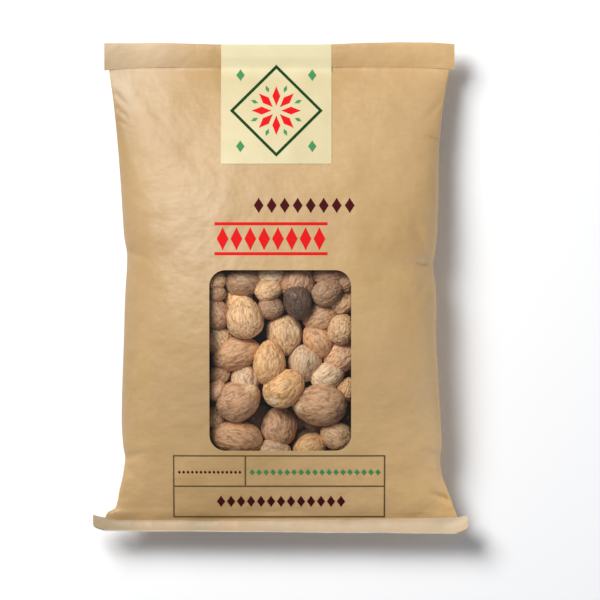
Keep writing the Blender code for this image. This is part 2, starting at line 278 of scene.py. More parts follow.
def fullness(along):
    """How far the pack is swollen, from 0 at its seals to 1 where it is fullest."""
    share = np.clip((along - FOOT_LINE) / (NECK_LINE - FOOT_LINE), 0, 1)
    foot_rise = np.sin(math.pi / 2 * np.minimum(share / FULLEST, 1))
    neck_rise = np.sin(math.pi / 2 * np.minimum((1 - share) / (1 - FULLEST), 1))
    to_foot = eased_power(foot_rise, FOOT_ROUNDING)
    to_neck = eased_power(neck_rise, NECK_ROUNDING)
    return np.where(share < FULLEST, to_foot, to_neck)


def arch(across, along, squareness):
    """The section's height, from 0 at its side edges to 1 in the middle."""
    left = side_line(1, along)
    right = side_line(2, along)
    share = np.clip(np.abs(2 * across - left - right) / (right - left), 0, 1)
    return np.sqrt(1 - share**squareness)


def front_height(across, along):
    """The front's height above the floor."""
    seal_top = SEAL_HEIGHT + PAPER_LAYERS / 2
    crown = seal_top + (CROWN_HEIGHT - seal_top) * fullness(along)
    girth = SEAL_HEIGHT + (GIRTH_HEIGHT - SEAL_HEIGHT) * fullness(along)
    return girth + (crown - girth) * arch(across, along, FRONT_SQUARENESS)


def back_height(across, along):
    """The back's height: flat on the floor where the nutmegs press it down."""
    seal_bottom = SEAL_HEIGHT - PAPER_LAYERS / 2
    keel = seal_bottom - (seal_bottom + BACK_PRESS) * fullness(along)
    girth = SEAL_HEIGHT + (GIRTH_HEIGHT - SEAL_HEIGHT) * fullness(along)
    free = girth - (girth - keel) * arch(across, along, BACK_SQUARENESS)
    eased = (free + FLOOR_EASE) ** 2 / (4 * FLOOR_EASE)
    return np.where(free < -FLOOR_EASE, 0.0, np.where(free > FLOOR_EASE, free, eased))


print("front height at the middle:", round(float(front_height(0.0, 0.0)), 4))

# %% [markdown]
# ## Kraft paper
# Kraft paper is matte brown pulp: short fibres that lie mostly one way, cloudy patches where the
# sheet is thinner, a few dark flecks, and a faint tooth that light catches. Noise drawn out along
# the fibres gives the grain, broad noise the clouds, and a little bump the tooth. Light and shade
# are also painted into the colour: the sheet is painted a little paler toward its right side, its
# foot and its fold, painted darker along its left edge, and a pale painted sheen sits at the
# fold's left end.

# %% Kraft material
KRAFT_DEEP = (0.455, 0.283, 0.115)
KRAFT_PALE = (0.580, 0.385, 0.177)
SEALED_DEEP = (0.372, 0.285, 0.181)
SEALED_PALE = (0.434, 0.340, 0.222)
BLUSH = (0.480, 0.295, 0.148)
FLECK = (0.20, 0.11, 0.05)
PAINTED_SHEEN_TONE = (0.80, 0.64, 0.47)
PAINTED_SHEEN_PLACE = (-0.076, 0.124, 0.019)


def kraft_material(name, deep, pale):
    """Brown paper between a deep and a pale tone."""
    material, tree, shader = start_material(name, 0.6)
    fibres = speckle(tree, 520, stretch=(0.18, 1, 1), detail=4)
    clouds = speckle(tree, 17, detail=4)
    blotches = speckle(tree, 62, detail=3)
    blush = speckle(tree, 33, detail=4)
    flecks = speckle(tree, 1500, detail=0)
    sheet = mix_colours(tree, spread(tree, clouds, 0.30, 0.70), deep, pale)
    patchy = overlay(tree, sheet, blotches, 0.40, 0.68, 0.45, pale)
    blushed = overlay(tree, patchy, blush, 0.42, 0.66, 0.45, BLUSH)
    grained = overlay(tree, blushed, fibres, 0.35, 0.7, 0.22, deep)
    flecked = overlay(tree, grained, flecks, 0.77, 0.82, 0.22, FLECK)
    own = add_node(tree, "TexCoord").outputs["Object"]
    place = add_node(tree, "SeparateXYZ", {"Vector": own})
    # Painted light and shade: the paper is made paler toward the right, the foot and the fold, and darker
    # along the left edge.
    painted_light_right = spread(tree, place.outputs["X"], -0.09, 0.09, 0.89, 1.12)
    to_foot = spread(tree, place.outputs["Y"], -0.062, -0.112, 1.0, 1.25)
    painted_light_fold = spread(tree, place.outputs["Y"], 0.106, 0.117, 1.0, 1.06)
    painted_shade_left = spread(tree, place.outputs["X"], -0.085, -0.074, 0.87, 1.0)
    paler = painted_light_right
    for share in (to_foot, painted_light_fold, painted_shade_left):
        paler = multiply(tree, paler, share)
    toned = add_node(tree, "VectorMath", {"Vector": flecked, "Scale": paler}, operation="SCALE").outputs[0]
    # A painted sheen: the colour turns pale near the fold's left end.
    from_painted_sheen = add_node(tree, "VectorMath", {0: own, 1: PAINTED_SHEEN_PLACE}, operation="DISTANCE").outputs["Value"]
    paper_with_painted_sheen = mix_colours(tree, spread(tree, from_painted_sheen, 0.012, 0.034, 0.34, 0.0), toned, PAINTED_SHEEN_TONE)
    tree.links.new(paper_with_painted_sheen, shader.inputs["Base Color"])
    tree.links.new(spread(tree, clouds, 0.3, 0.7, 0.42, 0.54), shader.inputs["Roughness"])
    tooth = add_node(tree, "Bump", {"Height": fibres, "Strength": 0.25, "Distance": 0.0003})
    dents = speckle(tree, 48, detail=3)
    dented = {"Height": dents, "Strength": 0.6, "Distance": 0.003, "Normal": tooth.outputs[0]}
    soft = add_node(tree, "Bump", dented)
    tree.links.new(soft.outputs[0], shader.inputs["Normal"])
    return material


kraft = kraft_material("kraft_paper", KRAFT_DEEP, KRAFT_PALE)
seal_kraft = kraft_material("sealed_kraft", SEALED_DEEP, SEALED_PALE)
print("kraft papers:", kraft.name, seal_kraft.name)

# %% [markdown]
# ## The bag
# The front sheet has a window cut in it, and a plain grid can't follow a rounded hole. So the front
# is a set of rings that grow from the window's outline to the pack's edge, like ripples, and the
# back is a plain grid that meets them at the edge. The rings would fold over one another at the
# notch by the foot, so they grow to an easier outline first and then slide across to the real one.
# A thin Solidify turns the sheet into real paper.

# %% Rings round the window
WINDOW_CENTRE = np.array((-0.0001, -0.0384))
WINDOW_WIDTH = 0.0748
WINDOW_LENGTH = 0.0955
WINDOW_CORNER = 0.0085
FOOT_TONGUE = 0.0004
NECK_TONGUE = 0.003
FOOT_SLANT = 0.0014
FOOT_HALF_WIDTH = 0.094
FOOT_EASE = 0.012
SIDE_POINTS = 150
END_POINTS = 90
CORNER_STEPS = 9
RINGS = 52
SLIDE_POWER = 4
# Rows of the side lines that make the notch by the foot
NOTCH_ROWS = (1, 2, 3)
EASY_LINES = np.delete(SIDE_LINES, NOTCH_ROWS, axis=0)


def window_side(quarter, count, grow=0.0):
    """Even points along one side of the window, from one round corner's middle to the next one's."""
    hub = np.array((WINDOW_WIDTH, WINDOW_LENGTH)) / 2 - WINDOW_CORNER
    corners = np.array(((1, -1), (1, 1), (-1, 1), (-1, -1)))
    line = []
    for half in (0, 1):
        start = math.pi / 2 * quarter - math.pi / 4 * (1 - half)
        for angle in np.linspace(start, start + math.pi / 4, CORNER_STEPS):
            outward = np.array((math.cos(angle), math.sin(angle)))
            line.append(corners[(quarter + half) % 4] * hub + (WINDOW_CORNER + grow) * outward)
    line = np.array(line) + WINDOW_CENTRE
    run = np.concatenate(([0], np.cumsum(np.hypot(*np.diff(line, axis=0).T))))
    even = np.linspace(0, run[-1], count)
    return np.stack([np.interp(even, run, line[:, k]) for k in (0, 1)], axis=1)


def pack_row(along, shares, lines=SIDE_LINES):
    """Places across the pack, from its left edge at -1 to its right edge at 1."""
    left = side_line(1, along, lines)
    right = side_line(2, along, lines)
    return (left + right) / 2 + (right - left) / 2 * shares


def to_real_edge(line):
    """The points slid across, so that a line on the easy outline comes to lie on the real one."""
    across, along = line.T
    left = side_line(1, along, EASY_LINES)
    right = side_line(2, along, EASY_LINES)
    shares = (2 * across - left - right) / (right - left)
    slide = pack_row(along, shares) - across
    return np.stack((across + slide * np.abs(shares) ** SLIDE_POWER, along), axis=1)


side_along = np.linspace(FOOT_LINE - FOOT_TONGUE, NECK_LINE + NECK_TONGUE, SIDE_POINTS)
end_shares = np.sin(np.linspace(-math.pi / 2, math.pi / 2, END_POINTS))


def pack_side(quarter):
    """Points along one edge of the pack: right, top, left and bottom, anticlockwise."""
    if quarter in (0, 2):
        points = np.stack((pack_row(side_along, 1 - quarter, EASY_LINES), side_along), axis=1)
    else:
        along = side_along[-1] if quarter == 1 else side_along[0]
        points = np.stack((pack_row(along, -end_shares, EASY_LINES), np.full(END_POINTS, along)), axis=1)
    return points if quarter in (0, 1) else points[::-1]


def closed_line(side):
    """The four sides joined to one closed line."""
    return np.concatenate([side(quarter)[:-1] for quarter in range(4)])


inner_line = closed_line(lambda q: window_side(q, SIDE_POINTS if q in (0, 2) else END_POINTS))
outer_line = closed_line(pack_side)
print("points in a ring:", len(inner_line), len(outer_line))

# %% [markdown]
# Real paper remembers how it was handled. Long soft dents come from the nutmegs and the hands, and
# short flutes from the seals, where flat paper turns into a round bag. A few sharp creases run in
# from the sides. They are placed one by one, because the eye finds a regular pattern at once.

# %% Creases and dents
BROAD_DENTS = 0.0007
SMALL_DENTS = 0.00028
SEAL_FLUTES = 0.0006
FLUTE_REACH = 0.016
# The paper lies calmer within these lengths of the window, the floor and the seals
WINDOW_CALM = 0.02
FLOOR_CALM = 0.012
SEAL_CALM = 0.004
VALLEY_POWER = 1.6
# The share of its length over which a crease fades at each end
CREASE_FADE = 0.15
# Start across and along, end across and along, depth, width of the valley
FRONT_CREASES = (
    (0.0700, 0.0370, 0.0805, 0.0110, 0.0011, 0.0050),
    (0.0805, 0.0115, 0.0660, 0.0140, 0.0009, 0.0035),
    (0.0790, 0.0060, 0.0690, -0.0120, 0.0006, 0.0045),
    (-0.0815, 0.0190, -0.0680, 0.0150, 0.0008, 0.0035),
    (-0.0820, 0.0160, -0.0740, 0.0010, 0.0006, 0.0040),
    (-0.0830, -0.0905, -0.0690, -0.0860, 0.0010, 0.0035),
    (-0.0835, -0.0925, -0.0740, -0.1040, 0.0007, 0.0040),
    (0.0850, -0.0890, 0.0720, -0.0850, 0.0010, 0.0035),
    (0.0850, -0.0900, 0.0850, -0.1090, 0.0008, 0.0040),
    (0.0915, -0.1135, 0.0790, -0.1093, 0.0022, 0.0030),
    (-0.0910, -0.1150, -0.0790, -0.1090, 0.0005, 0.0060),
    (-0.0880, 0.1030, -0.0800, 0.0960, 0.0007, 0.0025),
    (-0.0880, 0.0960, -0.0810, 0.0900, 0.0006, 0.0025),
    (-0.0870, 0.0890, -0.0790, 0.0850, 0.0006, 0.0025),
    (0.0870, 0.1010, 0.0760, 0.0880, 0.0007, 0.0035),
    (0.0860, 0.0780, 0.0740, 0.0820, 0.0006, 0.0035),
    (-0.0700, 0.0980, -0.0420, 0.0600, 0.0005, 0.0100),
    (0.0240, 0.0420, 0.0640, 0.0620, 0.0005, 0.0110),
    (-0.0700, -0.0750, -0.0450, -0.1060, 0.0005, 0.0090),
    (0.0450, -0.1120, 0.0620, -0.0960, 0.0005, 0.0070),
)


def creases(across, along):
    """How far the creases push the front in at these places."""
    total = np.zeros_like(across)
    for x1, y1, x2, y2, depth, width in FRONT_CREASES:
        run_x, run_y = x2 - x1, y2 - y1
        length = math.hypot(run_x, run_y)
        t = ((across - x1) * run_x + (along - y1) * run_y) / length**2
        off = np.hypot(across - x1 - t * run_x, along - y1 - t * run_y)
        valley = np.clip(1 - off / width, 0, 1) ** VALLEY_POWER
        fade = np.clip(1 + CREASE_FADE - t, 0, 1) * np.clip((t + CREASE_FADE) / (2 * CREASE_FADE), 0, 1)
        total += depth * valley * np.clip(fade, 0, 1)
    return total


def waves(places, scale, stretch, seed):
    """Smooth noise at each place, between about -1 and 1."""
    drawn = places * scale * np.array(stretch) + seed
    return np.array([noise.noise(Vector(place)) for place in drawn])


def grid_waves(across, along, scale, seed):
    """The same noise over a grid of places seen from above."""
    plan = np.stack((across, along, 0 * across), axis=-1).reshape(-1, 3)
    return waves(plan, scale, (1, 1, 1), seed).reshape(across.shape)


def crumple(places, is_front):
    """How far the paper stands out from the pack's form at each place."""
    across, along, _ = places.T
    to_seal = np.minimum(along - FOOT_LINE, NECK_LINE - along)
    near_seal = np.exp(-np.clip(to_seal, 0, 1) / FLUTE_REACH)
    inside = np.abs(places[:, :2] - WINDOW_CENTRE) - np.array((WINDOW_WIDTH, WINDOW_LENGTH)) / 2
    from_window = np.clip(np.max(inside, axis=1) / WINDOW_CALM, 0.15, 1)
    out = BROAD_DENTS * waves(places, 21, (1, 0.8, 1), 3.1)
    out += SMALL_DENTS * waves(places, 75, (1, 0.7, 1), 8.7)
    out += SEAL_FLUTES * near_seal * waves(places, 95, (1, 0.22, 1), 5.3)
    calm = np.where(is_front, from_window, np.clip(places[:, 2] / FLOOR_CALM, 0, 1))
    calm *= np.clip((along - FOOT_LINE) / SEAL_CALM, 0, 1)
    calm *= np.clip((NECK_LINE - along) / SEAL_CALM, 0.15, 1)
    return out * calm - np.where(is_front, creases(across, along) * from_window, 0)


# %% [markdown]
# Rings in front and rows at the back make one shell. It is joined along the edge, crumpled along its
# normals and given the paper's thickness. Every piece of the lesson is finished in the same way: it
# joins the scene, rides on the pack and hides the solid that it stands for.

# %% The paper shell
PAPER = 0.00035
GIRTH_FADE = 0.002
WELD = 0.000002


def place_piece(name, data, material, node):
    """An object of the mesh, which rides on the pack and stands for its node."""
    piece = bpy.data.objects.new(name, data)
    bpy.context.scene.collection.objects.link(piece)
    data.materials.append(material)
    data.shade_smooth()
    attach(piece, "root")
    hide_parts(node)
    return piece


def finish_piece(name, mesh, material, node, smooth_angle=40):
    """A placed piece from the edited mesh, with its edges sharp beyond the angle."""
    data = bpy.data.meshes.new(name)
    mesh.to_mesh(data)
    mesh.free()
    piece = place_piece(name, data, material, node)
    data.set_sharp_from_angle(angle=math.radians(smooth_angle))
    return piece


def bridge(mesh, first, second, closed=False):
    """A strip of faces between two rows of equally many points."""
    count = len(first)
    for i in range(count if closed else count - 1):
        j = (i + 1) % count
        mesh.faces.new((first[i], second[i], second[j], first[j]))


def apply_modifiers(piece):
    """The piece's mesh as its modifiers leave it."""
    depsgraph = bpy.context.evaluated_depsgraph_get()
    made = bpy.data.meshes.new_from_object(piece.evaluated_get(depsgraph))
    piece.modifiers.clear()
    piece.data = made
    made.set_sharp_from_angle(angle=math.radians(50))


def build_bag():
    """The whole shell: rings in front, rows at the back, two end strips, and then the crumples."""
    mesh = bmesh.new()
    rings = []
    for share in np.sin(np.linspace(0, math.pi / 2, RINGS + 1)):
        line = to_real_edge(inner_line * (1 - share) + outer_line * share)
        heights = front_height(line[:, 0], line[:, 1])
        rings.append([mesh.verts.new((x, y, z)) for (x, y), z in zip(line, heights)])
    for inner, outer in zip(rings, rings[1:]):
        bridge(mesh, inner, outer, closed=True)
    front_verts = set(vert for ring in rings for vert in ring)
    rows = []
    for along in side_along:
        across = pack_row(along, end_shares)
        rows.append([mesh.verts.new((x, along, z)) for x, z in zip(across, back_height(across, along))])
    for lower, upper in zip(rows, rows[1:]):
        bridge(mesh, lower, upper)
    edge = rings[-1]
    corner_at = SIDE_POINTS - 1
    bottom_start = 2 * corner_at + END_POINTS - 1
    bridge(mesh, edge[corner_at:corner_at + END_POINTS][::-1], rows[-1])
    bridge(mesh, edge[bottom_start:] + edge[:1], rows[0])
    bmesh.ops.recalc_face_normals(mesh, faces=mesh.faces)
    mesh.normal_update()
    verts = list(mesh.verts)
    places = np.array([vert.co for vert in verts])
    is_front = np.array([vert in front_verts for vert in verts])
    shift = crumple(places, is_front)
    girth = SEAL_HEIGHT + (GIRTH_HEIGHT - SEAL_HEIGHT) * fullness(places[:, 1])
    shift *= np.clip(np.abs(places[:, 2] - girth) / GIRTH_FADE, 0, 1)
    for vert, amount in zip(verts, shift):
        vert.co += vert.normal * float(amount)
        to_foot = math.exp((FOOT_LINE - vert.co.y) / FOOT_EASE)
        vert.co.y += FOOT_SLANT * (1 + vert.co.x / FOOT_HALF_WIDTH) / 2 * to_foot
    bmesh.ops.remove_doubles(mesh, verts=mesh.verts, dist=WELD)
    bmesh.ops.recalc_face_normals(mesh, faces=mesh.faces)
    return mesh


bag_mesh = build_bag()
bag_surface = BVHTree.FromBMesh(bag_mesh)
bag = finish_piece("kraft_bag", bag_mesh, kraft, "paper_bag", smooth_angle=60)
thicken = bag.modifiers.new("paper", "SOLIDIFY")
thicken.thickness = PAPER
thicken.offset = -1
apply_modifiers(bag)
print("bag faces:", len(bag.data.polygons))

# %% [markdown]
# ## The folded mouth
# After filling, the mouth was folded over once to the front and glued. Seen end on, the fold is a
# flat letter J, so the band is that profile swept across the pack. Its edges wander a little, as
# hand folded paper does, and its ends hang a touch lower than its middle.

# %% The band
BAND_LEFT = -0.0935
BAND_RIGHT = 0.0922
BAND_EDGE = 0.1171
BAND_END_SAG = 0.0019
BAND_FRONT = 0.0019
BAND_BACK = 0.0009
BAND_BOW = 0.0006
BAND_STEPS = 130
BAND_SWAY = 0.0007
BAND_GAPE = 0.0003
# How far the ripple moves the top line, the lower edge, the height and the gape
TOP_RIPPLE, EDGE_RIPPLE, LIFT_RIPPLE, GAPE_RIPPLE = 0.0001, 0.0002, 0.0003, 0.0001
SLOT_DEPTH = 0.004
FLAP = 0.0008
FLAP_EDGE = 0.0003
# The fold's top line: place across, then along
BAND_TOP_LINE = np.array((
    (-0.0935, 0.1298), (-0.0600, 0.1299), (-0.0340, 0.1292), (0.0000, 0.1290), (0.0270, 0.1292),
    (0.0450, 0.1300), (0.0650, 0.1303), (0.0800, 0.1302), (0.0922, 0.1293),
))


def band_profile(top, edge, lift, gape):
    """The J from its back's lower edge, round the fold, down the flap and up into the slot."""
    radius = (BAND_FRONT + BAND_BACK) / 2
    middle = lift + (BAND_FRONT - BAND_BACK) / 2
    under = lift + BAND_FRONT - FLAP
    profile = [(edge + 0.0002, lift - 0.0004), (edge + 0.0006, lift - BAND_BACK)]
    for turn in np.linspace(-math.pi / 2, math.pi / 2, 9):
        profile.append((top - radius + radius * math.cos(turn), middle + radius * math.sin(turn)))
    profile += [(edge + 0.0050, lift + BAND_FRONT - 0.0004), (edge, lift + FLAP_EDGE + gape)]
    profile += [(edge - 0.0001, lift + FLAP_EDGE - FLAP / 2 + gape), (edge, lift - 0.0001 + gape)]
    profile += [(edge + SLOT_DEPTH, under), (edge + SLOT_DEPTH, lift + 0.0003)]
    return profile


def build_band():
    """The profile swept across the pack, wandering a little."""
    mesh = bmesh.new()
    loops = []
    middle = (BAND_LEFT + BAND_RIGHT) / 2
    for across in np.linspace(BAND_LEFT, BAND_RIGHT, BAND_STEPS + 1):
        share = (across - middle) / (BAND_RIGHT - middle)
        sway = noise.noise(Vector((across * 18, 0.4, 2.2)))
        ripple = noise.noise(Vector((across * 60, 3.4, 1.2)))
        top = np.interp(across, *BAND_TOP_LINE.T) + TOP_RIPPLE * ripple
        edge = BAND_EDGE - BAND_END_SAG * share**6 + BAND_SWAY * sway + EDGE_RIPPLE * ripple
        lift = SEAL_HEIGHT + BAND_BOW * (1 - share**2) + LIFT_RIPPLE * ripple
        gape = GAPE_RIPPLE * max(ripple, 0) + BAND_GAPE * share**8
        loops.append([mesh.verts.new((across, y, z)) for y, z in band_profile(top, edge, lift, gape)])
    for first, second in zip(loops, loops[1:]):
        bridge(mesh, first, second, closed=True)
    mesh.faces.new(loops[0])
    mesh.faces.new(loops[-1])
    bmesh.ops.recalc_face_normals(mesh, faces=mesh.faces)
    return mesh


band_mesh = build_band()
band_surface = BVHTree.FromBMesh(band_mesh)
band = finish_piece("folded_band", band_mesh, kraft, "paper_bag")
print("band faces:", len(band.data.polygons))

# %% [markdown]
# ## The bottom seal
# The two layers are pressed together along the foot, and that stiff strip curls up towards the
# viewer, so its inner face catches the light. A bent grid makes it: flat at first, then round an
# arc, with the ends swinging up, and a free edge that wavers slightly. A hair-thin paler strip
# closes the free edge: partly the bare pulp where the layers were cut, partly a painted highlight
# where that edge catches the light.

# %% The fin
FIN_START = -0.1218
FIN_FLAT = 0.0011
FIN_RADIUS = 0.0063
FIN_TURN = math.radians(62)
FIN_HALF_WIDTH = 0.0994
FIN_NARROWING = 0.0060
FIN_CORNER_POWER = 11
FIN_SLANT = 0.0015
FIN_END_WIDTH = 0.014
FIN_END_LIFT = 0.0035
FIN_SWING_FROM = 0.0925
FIN_SWING = 0.0015
FIN_SWING_POWER = 1.3
FIN_SHEETS = 0.0007
FIN_WANDER = 0.0004
FIN_WAVER = 0.0012
FIN_RIPPLE = 0.0003
CUT_EDGE = 0.00012
FIN_ACROSS = 160
FIN_STEPS = 16


def build_slab(upper, lower):
    """A closed sheet between two grids of points, each shaped (rows, columns, 3)."""
    rows, columns = upper.shape[:2]
    mesh = bmesh.new()
    top = [[mesh.verts.new(point) for point in row] for row in upper]
    bottom = [[mesh.verts.new(point) for point in row] for row in lower]
    for grid in (top, bottom):
        for row, next_row in zip(grid, grid[1:]):
            bridge(mesh, row, next_row)
    rim = [(0, c) for c in range(columns)]
    rim += [(r, columns - 1) for r in range(1, rows)]
    rim += [(rows - 1, c) for c in range(columns - 2, -1, -1)]
    rim += [(r, 0) for r in range(rows - 2, 0, -1)]
    bridge(mesh, [top[r][c] for r, c in rim], [bottom[r][c] for r, c in rim], closed=True)
    bmesh.ops.recalc_face_normals(mesh, faces=mesh.faces)
    return mesh


def build_fin():
    """The curled strip, and the paler strip along its cut edge."""
    share = np.linspace(-1, 1, FIN_ACROSS + 1)[None, :]
    depth = np.linspace(0, 1, FIN_STEPS + 1)[:, None]
    run = depth * (FIN_FLAT + FIN_RADIUS * FIN_TURN)
    turn = np.clip((run - FIN_FLAT) / FIN_RADIUS, 0, FIN_TURN)
    across = share * (FIN_HALF_WIDTH - FIN_NARROWING * depth**FIN_CORNER_POWER)
    end = np.clip((np.abs(across) - (FIN_HALF_WIDTH - FIN_END_WIDTH)) / FIN_END_WIDTH, 0, 1)
    waver = grid_waves(across, 0 * across, 30, 6.6) * depth**2
    ripple = grid_waves(across, 0 * across, 110, 1.6) * depth
    along = FIN_START - np.minimum(run, FIN_FLAT) - FIN_RADIUS * np.sin(turn)
    swing = np.clip((np.abs(across) - FIN_SWING_FROM) / (FIN_HALF_WIDTH - FIN_SWING_FROM), 0, 1)
    along = along - FIN_SLANT * (1 + share) / 2 * depth + FIN_WANDER * waver
    along = along + FIN_SWING * swing**FIN_SWING_POWER
    height = SEAL_HEIGHT + FIN_RADIUS * (1 - np.cos(turn)) + FIN_END_LIFT * end**2 * depth
    height = height + FIN_WAVER * waver + FIN_RIPPLE * ripple
    half = FIN_SHEETS / 2
    over = np.stack((across, along + half * np.sin(turn), height + half * np.cos(turn)), axis=-1)
    under = np.stack((across, along - half * np.sin(turn), height - half * np.cos(turn)), axis=-1)
    outward = np.array((0, -math.cos(FIN_TURN), math.sin(FIN_TURN)))
    rim = np.stack((over[-1], under[-1]))
    return build_slab(over, under), build_slab(rim + outward * CUT_EDGE, rim)


PULP_AND_PAINTED_HIGHLIGHT = ((0.66, 0.58, 0.46), (0.80, 0.74, 0.64))
edge_paint = two_tone_material("cut_edge", 0.8, 900, *PULP_AND_PAINTED_HIGHLIGHT, stretch=(0.2, 1, 1))
fin_mesh, edge_mesh = build_fin()
fin = finish_piece("bottom_seal", fin_mesh, seal_kraft, "paper_bag")
cut_edge = finish_piece("seal_cut_edge", edge_mesh, edge_paint, "paper_bag")
print("fin faces:", len(fin.data.polygons), "cut edge faces:", len(cut_edge.data.polygons))

# %% [markdown]
# ## The window film
# The window is closed by a clear film that is glued to the paper's inner face. It is a thin closed
# sheet with faint slack waves. Its material lets nearly all light through, and only reflects at a
# grazing angle, which is what tells the eye that something is there.

# %% The film
PAPER_LIP = 0.0008
CLEARANCE = 0.0003
FILM_ROOM = 0.0004
FILM_SHEET = 0.00015
FILM_SLACK = 0.0001
FILM_LAP = 0.006
POCKET_LAP = 0.012
POCKET_FLOOR = 0.010
# Columns, rows and rows in each round corner
FILM_GRID = (60, 60, 10)


def rounded_grid(grow, columns, rows, corner_rows):
    """Plan points over the window's rounded rectangle grown by that much, shaped (rows, columns)."""
    half_width = WINDOW_WIDTH / 2 + grow
    half_length = WINDOW_LENGTH / 2 + grow
    corner = WINDOW_CORNER + grow
    turns = np.linspace(0, math.pi / 2, corner_rows + 1)
    corner_along = half_length - corner + corner * np.cos(turns)
    straight_along = np.linspace(half_length - corner, corner - half_length, rows)[1:-1]
    along = np.concatenate((corner_along, straight_along, -corner_along[::-1]))
    into_corner = np.clip(np.abs(along) - (half_length - corner), 0, corner)
    reach = half_width - corner + np.sqrt(corner**2 - into_corner**2)
    across = WINDOW_CENTRE[0] + reach[:, None] * np.linspace(-1, 1, columns)[None, :]
    return across, np.repeat(WINDOW_CENTRE[1] + along[:, None], columns, axis=1)


def film_underside(across, along):
    """The height of the film's lower face."""
    return front_height(across, along) - PAPER_LIP - CLEARANCE - FILM_ROOM


film_paint, tree, shader = start_material("clear_film", 0.06)
shader.inputs["IOR"].default_value = 1.45
slack = speckle(tree, 60, detail=1)
film_wave = add_node(tree, "Bump", {"Height": slack, "Strength": 0.2, "Distance": 0.001}).outputs[0]
tree.links.new(film_wave, shader.inputs["Normal"])
clear = add_node(tree, "BsdfTransparent", {"Color": (0.975, 0.975, 0.97, 1)}).outputs[0]
grazing = add_node(tree, "Fresnel", {"IOR": 1.3, "Normal": film_wave}).outputs[0]
veil = spread(tree, grazing, 0.0, 1.0, 0.0, 0.45)
both = add_node(tree, "MixShader", {"Fac": veil})
tree.links.new(clear, both.inputs[1])
tree.links.new(shader.outputs[0], both.inputs[2])
tree.links.new(both.outputs[0], tree.nodes["Material Output"].inputs["Surface"])

across, along = rounded_grid(FILM_LAP, *FILM_GRID)
sheet_height = film_underside(across, along) + FILM_SLACK * grid_waves(across, along, 45, 4.2)
under = np.stack((across, along, sheet_height), axis=-1)
film_mesh = build_slab(under + np.array((0, 0, FILM_SHEET)), under)
film = finish_piece("window_film_sheet", film_mesh, film_paint, "window_film")
print("film faces:", len(film.data.polygons))

# %% [markdown]
# ## The nutmegs
# A whole nutmeg is an egg-shaped seed, blunt at one end, with a fine net of grooves that run mostly
# lengthwise and draw together at the ends, and often a pale bare spot at one end. Each one here is a
# dense ball drawn out to its own size, dented by broad noise and grooved by noise that is stretched
# along it. The rows below place them one by one, as they lie behind the window.

# %% Where each nutmeg lies
TONES = {
    "tan": (0.90, 0.560, 0.285),
    "amber": (0.97, 0.560, 0.235),
    "russet": (0.73, 0.385, 0.178),
    "brown": (0.72, 0.400, 0.205),
    "chestnut": (0.55, 0.300, 0.165),
    "grey": (0.78, 0.530, 0.330),
    "pink": (0.92, 0.530, 0.300),
    "pale": (0.95, 0.690, 0.420),
    "dark": (0.036, 0.022, 0.021),
    "umber": (0.42, 0.235, 0.130),
}
